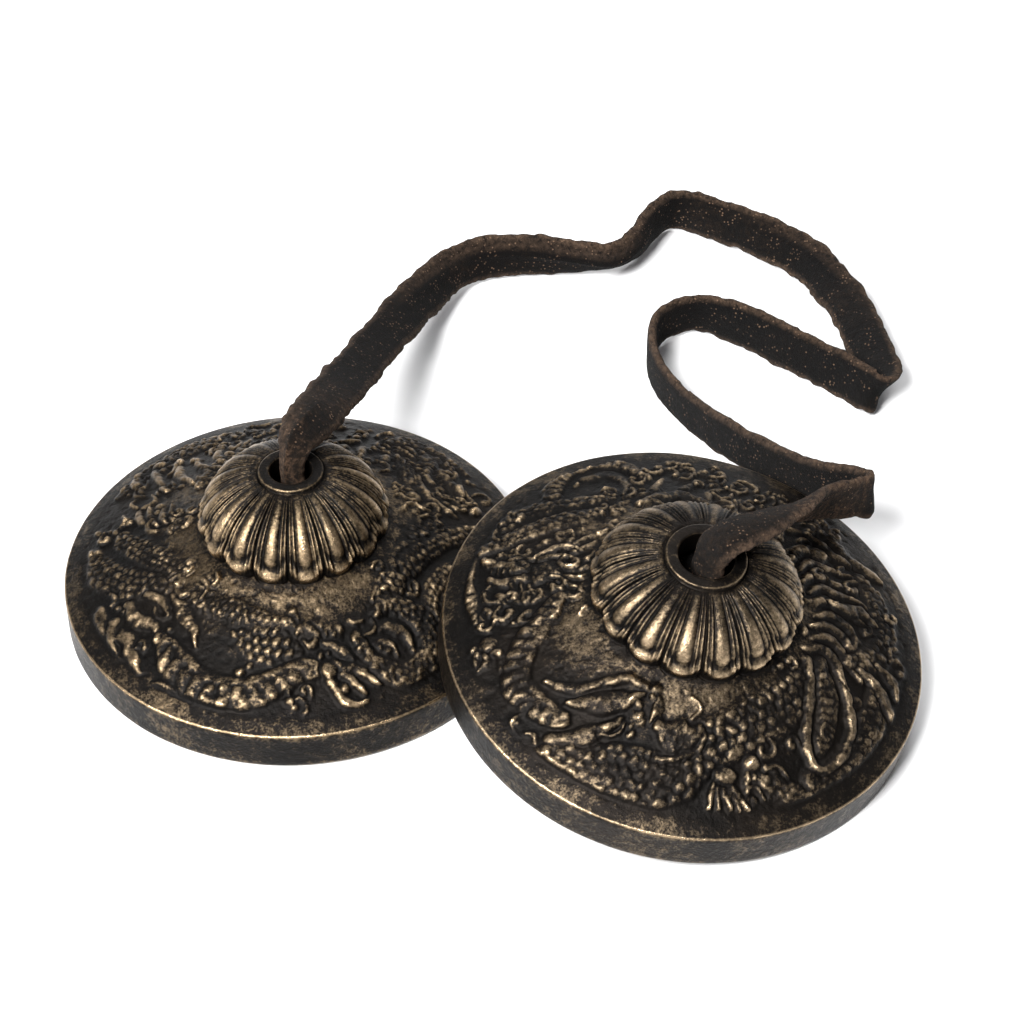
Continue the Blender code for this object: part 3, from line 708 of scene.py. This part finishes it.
def ribbon_mesh(name, centre, width_way, width, thickness, curl, look, seed, brown_and_painted_light=0.3, crease=0.0):
    """A closed leather ribbon. Curl bends its section into a channel, and crease folds it lengthwise, with a
    painted light strip beside the fold and painted shade in it. The tone mask is the leather's tone, and
    along the strap it carries painted light and shade.
    """
    along = np.gradient(centre, axis=0)
    along /= np.linalg.norm(along, axis=1)[:, None]
    across = width_way - along * (width_way * along).sum(1)[:, None]
    across /= np.linalg.norm(across, axis=1)[:, None]
    normal = np.cross(along, across)
    step = np.linalg.norm(np.diff(centre, axis=0), axis=1)
    s = np.concatenate([[0.0], np.cumsum(step)])
    section = [(-1 + 2 * k / (RIBBON_POINTS - 1), 1.0) for k in range(RIBBON_POINTS)]
    section += [(1 - 2 * k / (RIBBON_POINTS - 1), -1.0) for k in range(RIBBON_POINTS)]
    points, edge, browns_and_painted_light = [], [], []
    for u, face in section:
        wavy_side = 1.0 + 0.12 * (layered_noise(s, s * 0 + 40 * np.sign(u), 4.2, seed) - 0.5) * 2 * abs(u)
        nick = 0.07 * (layered_noise(s, s * 0 + 90 * np.sign(u), 1.0, seed + 5, 2) - 0.5) * 2 * abs(u)
        round_off = math.sqrt(max(1.0 - abs(u) ** 7, 0.12))
        lumps = 1.0 + 0.22 * (layered_noise(s, s * 0 + 6 * u + 20 * face, 2.6, seed + 9) - 0.5)
        sag = 0.20 * (layered_noise(s, s * 0 + 1.3 * u, 7.5, seed + 13) - 0.5)
        half = width / 2 * (wavy_side + nick)
        bend = curl * abs(u) ** 1.8
        lateral = half * u * np.cos(0.9 * np.clip(bend, 0, 1.4))
        dent = crease * math.exp(-(((u + 0.15) / 0.16) ** 2))
        lift = half * bend * 0.75 + face * thickness / 2 * round_off * lumps + sag - 0.55 * dent
        points.append(centre + across * lateral[:, None] + normal * lift[:, None])
        # Painted light: a lighter strip beside the lengthwise crease stands in for the lit face of the fold,
        # and the dent takes some of it back as painted shade in the crease. The rest of this mask is the
        # lighter cut edge.
        painted_fold_light = crease * math.exp(-(((u + 0.60) / 0.22) ** 2))
        edge.append(np.clip(smoothstep(0.70, 1.0, abs(u)) + 0.55 * painted_fold_light - 0.4 * dent, 0.0, 1.0) + 0 * s)
        browns_and_painted_light.append(brown_and_painted_light + 0 * s)
    ring = np.stack(points, 1)
    count, around = ring.shape[:2]
    vertices = ring.reshape(-1, 3) * MM
    faces = []
    for i in range(count - 1):
        for j in range(around):
            k = (j + 1) % around
            faces.append((i * around + j, (i + 1) * around + j, (i + 1) * around + k, i * around + k))
    faces.append(tuple(range(around)))
    faces.append(tuple((count - 1) * around + j for j in range(around))[::-1])
    mesh = bpy.data.meshes.new(name)
    mesh.from_pydata(vertices.tolist(), [], faces)
    for key, values in (("edge", edge), ("brown_and_painted_light", browns_and_painted_light)):
        layer = mesh.attributes.new(key, "FLOAT", "POINT")
        layer.data.foreach_set("value", np.stack(values, 1).reshape(-1).astype(np.float32))
    mesh.shade_smooth()
    mesh.materials.append(look)
    obj = bpy.data.objects.new(name, mesh)
    bpy.context.scene.collection.objects.link(obj)
    return obj


def strap(look):
    """The thong on its route, folded lengthwise where it passes through the holes."""
    stops = [[*place, *np.array(way) / np.linalg.norm(way), share] for place, way, share in ROUTE]
    route = catmull_rom(stops, STRAP_SECTIONS)
    centre, way, share = route[:, :3], route[:, 3:6], route[:, 6]
    t = np.linspace(0, 1, STRAP_SECTIONS)
    fold = smoothstep(0.14, 0.06, t) * 0.50 + smoothstep(0.84, 0.93, t) * 0.38
    fold += 0.55 * bump_at(t, 0.30, 0.06) + 0.25 * bump_at(t, 0.47, 0.05)
    # Painted light and shade along the strap: lighter by the left hole and after the last fold into the right
    # hole, where it faces the light, and darker from the loop's far end to the last fold, where it lies in
    # shade.
    brown_and_painted_light = 0.22 + 0.55 * smoothstep(0.17, 0.09, t) + 0.70 * smoothstep(0.80, 0.83, t)
    brown_and_painted_light -= 0.24 * smoothstep(0.52, 0.54, t) * smoothstep(0.82, 0.79, t)
    # Where the strap is creased lengthwise. The crease also brings a painted light strip beside the fold.
    crease = smoothstep(0.12, 0.08, t) + smoothstep(0.17, 0.20, t) * smoothstep(0.32, 0.29, t)
    crease = crease + 0.7 * bump_at(t, 0.43, 0.025)
    obj = ribbon_mesh("leather_strap", centre, way, STRAP_W * share, STRAP_T, fold, look, 31, brown_and_painted_light, crease)
    length = float(np.linalg.norm(np.diff(centre, axis=0), axis=1).sum()) * MM
    return obj, centre * MM, length


def knot(side, place, look):
    """A knot under the dome: loops round a lump that stands for its inner turns, and a short tail."""
    t = np.linspace(0.35, TURN - 0.35, 60)
    loop = np.stack([
        KNOT_LOOP * (np.sin(t) + 2 * np.sin(2 * t)) * 0.78,
        KNOT_LOOP * (np.cos(t) - 2 * np.cos(2 * t)) * 0.72,
        KNOT_Z - 1.15 * np.sin(3 * t),
    ], 1)
    head = catmull_rom([(0, 0, 19.3), (0.3, -0.2, 18.2), (0.9, -0.9, 17.2), tuple(loop[0])], 12)[:-1]
    tail = catmull_rom([tuple(loop[-1]), (-2.4, -0.6, 15.0), (-2.8, 1.2, 13.6), (-4.4, 2.0, 12.6)], 22)[1:]
    centre = np.concatenate([head, loop, tail])
    way = np.tile([0.25, 0.2, 1.0], (len(centre), 1))
    width = np.full(len(centre), KNOT_THONG_W)
    curl = np.full(len(centre), 0.25)
    obj = ribbon_mesh(side + "_strap_knot", centre, way, width, KNOT_THONG_T, curl, look, 57)
    core = bmesh.new()
    core.from_mesh(obj.data)
    flatten = Matrix.Diagonal((1.0, 1.0, KNOT_CORE_FLAT, 1.0))
    squash = Matrix.Translation((0.0, KNOT_CORE_SHIFT * MM, (KNOT_Z - 0.2) * MM)) @ flatten
    bmesh.ops.create_uvsphere(core, u_segments=32, v_segments=16, radius=KNOT_CORE_R * MM, matrix=squash)
    core.to_mesh(obj.data)
    core.free()
    obj.data.shade_smooth()
    obj.data.transform(place)
    return obj


# === Materials ============================================================================================

class Nodes:
    """A material's node tree, with short ways to add and join nodes."""

    def __init__(self, name):
        self.material = bpy.data.materials.new(name)
        self.material.use_nodes = True
        self.tree = self.material.node_tree
        self.shader = self.tree.nodes["Principled BSDF"]
        self.place = self.add("ShaderNodeTexCoord").outputs["Object"]

    def add(self, kind, **settings):
        node = self.tree.nodes.new(kind)
        for key, value in settings.items():
            setattr(node, key, value)
        return node

    def put(self, value, socket):
        if isinstance(value, bpy.types.NodeSocket):
            self.tree.links.new(value, socket)
        else:
            socket.default_value = value

    def attribute(self, name):
        return self.add("ShaderNodeAttribute", attribute_name=name).outputs["Fac"]

    def noise(self, scale, detail=5.0, roughness=0.55, distortion=0.0):
        node = self.add("ShaderNodeTexNoise")
        self.put(self.place, node.inputs["Vector"])
        for key, value in (("Scale", scale), ("Detail", detail), ("Roughness", roughness),
                           ("Distortion", distortion)):
            node.inputs[key].default_value = value
        return node.outputs["Fac"]

    def cells(self, scale):
        node = self.add("ShaderNodeTexVoronoi")
        self.put(self.place, node.inputs["Vector"])
        node.inputs["Scale"].default_value = scale
        return node.outputs["Distance"]

    def maths(self, operation, a, b):
        node = self.add("ShaderNodeMath", operation=operation)
        for value, socket in zip((a, b), node.inputs):
            self.put(value, socket)
        return node.outputs[0]

    def remap(self, value, low, high, to_low=0.0, to_high=1.0):
        node = self.add("ShaderNodeMapRange")
        for given, socket in zip((value, low, high, to_low, to_high), node.inputs):
            self.put(given, socket)
        return node.outputs[0]

    def ramp(self, value, stops):
        node = self.add("ShaderNodeValToRGB")
        elements = node.color_ramp.elements
        while len(elements) < len(stops):
            elements.new(0.5)
        for element, (place, colour) in zip(elements, stops):
            element.position = place
            element.color = (*colour, 1.0)
        self.put(value, node.inputs["Fac"])
        return node.outputs["Color"]

    def mix(self, share, a, b):
        node = self.add("ShaderNodeMix", data_type="RGBA")
        self.put(share, node.inputs["Factor"])
        self.put(a if isinstance(a, bpy.types.NodeSocket) else (*a, 1.0), node.inputs["A"])
        self.put(b if isinstance(b, bpy.types.NodeSocket) else (*b, 1.0), node.inputs["B"])
        return node.outputs["Result"]

    def bump(self, height, strength, distance, normal=None):
        node = self.add("ShaderNodeBump")
        node.inputs["Strength"].default_value = strength
        node.inputs["Distance"].default_value = distance
        self.put(height, node.inputs["Height"])
        if normal is not None:
            self.put(normal, node.inputs["Normal"])
        return node.outputs["Normal"]


def bronze(name, patina, gold, warmth):
    """Antiqued cast bronze: black-brown in the recesses, worn to gold on what stands proud. The wear mask
    also carries painted highlights: the rim's bright top edge and some of the gold on the dome's lower half.
    """
    look = Nodes(name)
    wear_and_painted_highlight = look.attribute("wear_and_painted_highlight")
    blotch = look.noise(140.0, 6.0, 0.62, 0.4)
    fine = look.noise(800.0, 6.0, 0.70)
    grit = look.noise(2600.0, 4.0, 0.7)
    rubbed_and_highlit = look.maths("ADD", wear_and_painted_highlight, look.remap(blotch, 0.35, 0.68, -0.14, 0.14))
    rubbed_and_highlit = look.maths("ADD", rubbed_and_highlit, look.remap(fine, 0.36, 0.64, -0.15, 0.15))
    rubbed_and_highlit = look.maths("ADD", rubbed_and_highlit, look.remap(grit, 0.38, 0.62, -0.13, 0.13))
    dark = tuple(0.35 * p for p in patina)
    colour = look.ramp(rubbed_and_highlit, [
        (0.02, dark),
        (0.24, patina),
        (0.42, tuple(0.6 * p + 0.14 * g for p, g in zip(patina, gold))),
        (0.68, tuple(0.40 * g for g in gold)),
        (1.0, gold),
    ])
    tint = look.noise(60.0, 3.0)
    colour = look.mix(look.remap(tint, 0.45, 0.75, 0.0, 0.25), colour, warmth)
    look.put(colour, look.shader.inputs["Base Color"])
    look.put(look.remap(rubbed_and_highlit, 0.1, 0.95, 0.48, 0.25), look.shader.inputs["Roughness"])
    look.put(look.remap(rubbed_and_highlit, 0.05, 0.5, 0.86, 1.0), look.shader.inputs["Metallic"])
    surface = look.bump(fine, 0.7, 0.00026)
    look.put(look.bump(grit, 0.5, 0.00010, surface), look.shader.inputs["Normal"])
    return look.material


def leather():
    """Dark suede-sided thong leather, lighter and redder at its cut edges, with pale flecks of dust. Painted
    light and shade: lighter stretches where the strap faces the light, darker ones where it lies in shade,
    and a lighter strip beside each lengthwise crease for its lit face.
    """
    look = Nodes("thong_leather")
    edge = look.attribute("edge")
    brown_and_painted_light = look.attribute("brown_and_painted_light")
    broad = look.noise(75.0, 4.0)
    nap = look.noise(1100.0, 8.0, 0.78, 0.4)
    fibre = look.noise(4200.0, 4.0, 0.7)
    flecks = look.remap(look.cells(1500.0), 0.14, 0.26, 1.0, 0.0)
    sparse = look.remap(look.noise(420.0, 4.0), 0.46, 0.58, 0.0, 1.0)
    tone = look.maths("ADD", look.remap(nap, 0.36, 0.68, -0.05, 0.55),
                      look.remap(broad, 0.35, 0.7, -0.22, 0.22))
    # The tone mask adds painted light and shade along the strap to the leather's tone.
    tone = look.maths("ADD", tone, look.maths("MULTIPLY", brown_and_painted_light, 0.55))
    colour = look.ramp(tone, [
        (0.0, (0.0022, 0.0020, 0.0019)),
        (0.38, (0.0040, 0.0031, 0.0026)),
        (0.68, (0.0125, 0.0082, 0.0055)),
        (1.0, (0.078, 0.046, 0.028)),
    ])
    # Lighter cut edges, plus the painted light strip beside each crease.
    edge_and_fold_light_share = look.maths("MULTIPLY", edge, look.remap(nap, 0.38, 0.66, 0.05, 0.90))
    colour = look.mix(edge_and_fold_light_share, colour, (0.125, 0.080, 0.053))
    dust = look.maths("MULTIPLY", look.maths("MULTIPLY", flecks, sparse), 0.75)
    colour = look.mix(dust, colour, (0.20, 0.125, 0.08))
    look.put(colour, look.shader.inputs["Base Color"])
    look.put(look.remap(nap, 0.3, 0.7, 0.80, 0.98), look.shader.inputs["Roughness"])
    look.shader.inputs["Sheen Weight"].default_value = 0.02
    look.shader.inputs["Sheen Roughness"].default_value = 0.5
    look.shader.inputs["Specular IOR Level"].default_value = 0.08
    rough = look.bump(nap, 1.0, 0.0006)
    look.put(look.bump(fibre, 0.5, 0.00010, rough), look.shader.inputs["Normal"])
    return look.material


# === The stage ============================================================================================

def camera():
    """Looks down from the front at the photograph's angle."""
    data = bpy.data.cameras.new("camera")
    data.lens = CAMERA_LENS
    data.sensor_width = 36.0
    data.clip_start = 0.01
    obj = bpy.data.objects.new("camera", data)
    back = Vector((0.0, -math.cos(CAMERA_ELEVATION), math.sin(CAMERA_ELEVATION)))
    obj.location = CAMERA_AIM + back * CAMERA_DISTANCE
    obj.rotation_euler = (math.pi / 2 - CAMERA_ELEVATION, 0.0, 0.0)
    bpy.context.scene.collection.objects.link(obj)
    bpy.context.scene.camera = obj


def area_light(name, place, aim, size, power):
    data = bpy.data.lights.new(name, "AREA")
    data.shape = "RECTANGLE"
    data.size, data.size_y = size
    data.energy = power
    obj = bpy.data.objects.new(name, data)
    obj.location = place
    obj.rotation_euler = (Vector(aim) - Vector(place)).to_track_quat("-Z", "Y").to_euler()
    bpy.context.scene.collection.objects.link(obj)


def stage():
    bpy.ops.mesh.primitive_plane_add(size=6.0, location=(0.0, 0.0, -0.0002))
    floor = bpy.context.object
    floor.name = "floor"
    look = Nodes("pale_floor")
    look.shader.inputs["Base Color"].default_value = (0.86, 0.86, 0.86, 1.0)
    look.put(look.remap(look.noise(3.0), 0.3, 0.7, 0.30, 0.34), look.shader.inputs["Roughness"])
    floor.data.materials.append(look.material)
    studio_world()
    area_light("key", place=(-0.55, -0.85, 1.15), aim=(0.0, 0.0, 0.01), size=(0.50, 0.50), power=57.0)
    area_light("top", place=(0.25, 1.00, 1.30), aim=(0.0, 0.03, 0.01), size=(1.2, 0.5), power=13.0)
    bpy.context.scene.view_settings.view_transform = "Standard"


def studio_world():
    """A light grey horizon under a darker ceiling, so that the metal has something to mirror."""
    world = bpy.data.worlds.new("studio")
    bpy.context.scene.world = world
    world.use_nodes = True
    tree = world.node_tree
    place = tree.nodes.new("ShaderNodeTexCoord")
    split = tree.nodes.new("ShaderNodeSeparateXYZ")
    ramp = tree.nodes.new("ShaderNodeValToRGB")
    tree.links.new(place.outputs["Generated"], split.inputs[0])
    tree.links.new(split.outputs["Z"], ramp.inputs["Fac"])
    for element, height, grey in zip(ramp.color_ramp.elements, (0.30, 0.52), (HORIZON_GREY, CEILING_GREY)):
        element.position = height
        element.color = (*grey, 1.0)
    tree.links.new(ramp.outputs["Color"], tree.nodes["Background"].inputs["Color"])
    tree.nodes["Background"].inputs["Strength"].default_value = 1.0


def main():
    camera()
    stage()
    hide = leather()
    band, path, length = strap(hide)
    left, right = Matrix.Translation(LEFT_CENTRE), right_place()
    left_knot, right_knot = knot("left", left, hide), knot("right", right, hide)
    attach(left_knot, "strap")
    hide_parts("left_knot")
    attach(right_knot, "right_knot")
    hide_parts("right_knot")
    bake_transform(band)
    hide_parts("strap")
    casting("left", draw_left, left, bronze("left_bronze", **BRONZES["left"]))
    casting("right", draw_right, right, bronze("right_bronze", **BRONZES["right"]))


main()
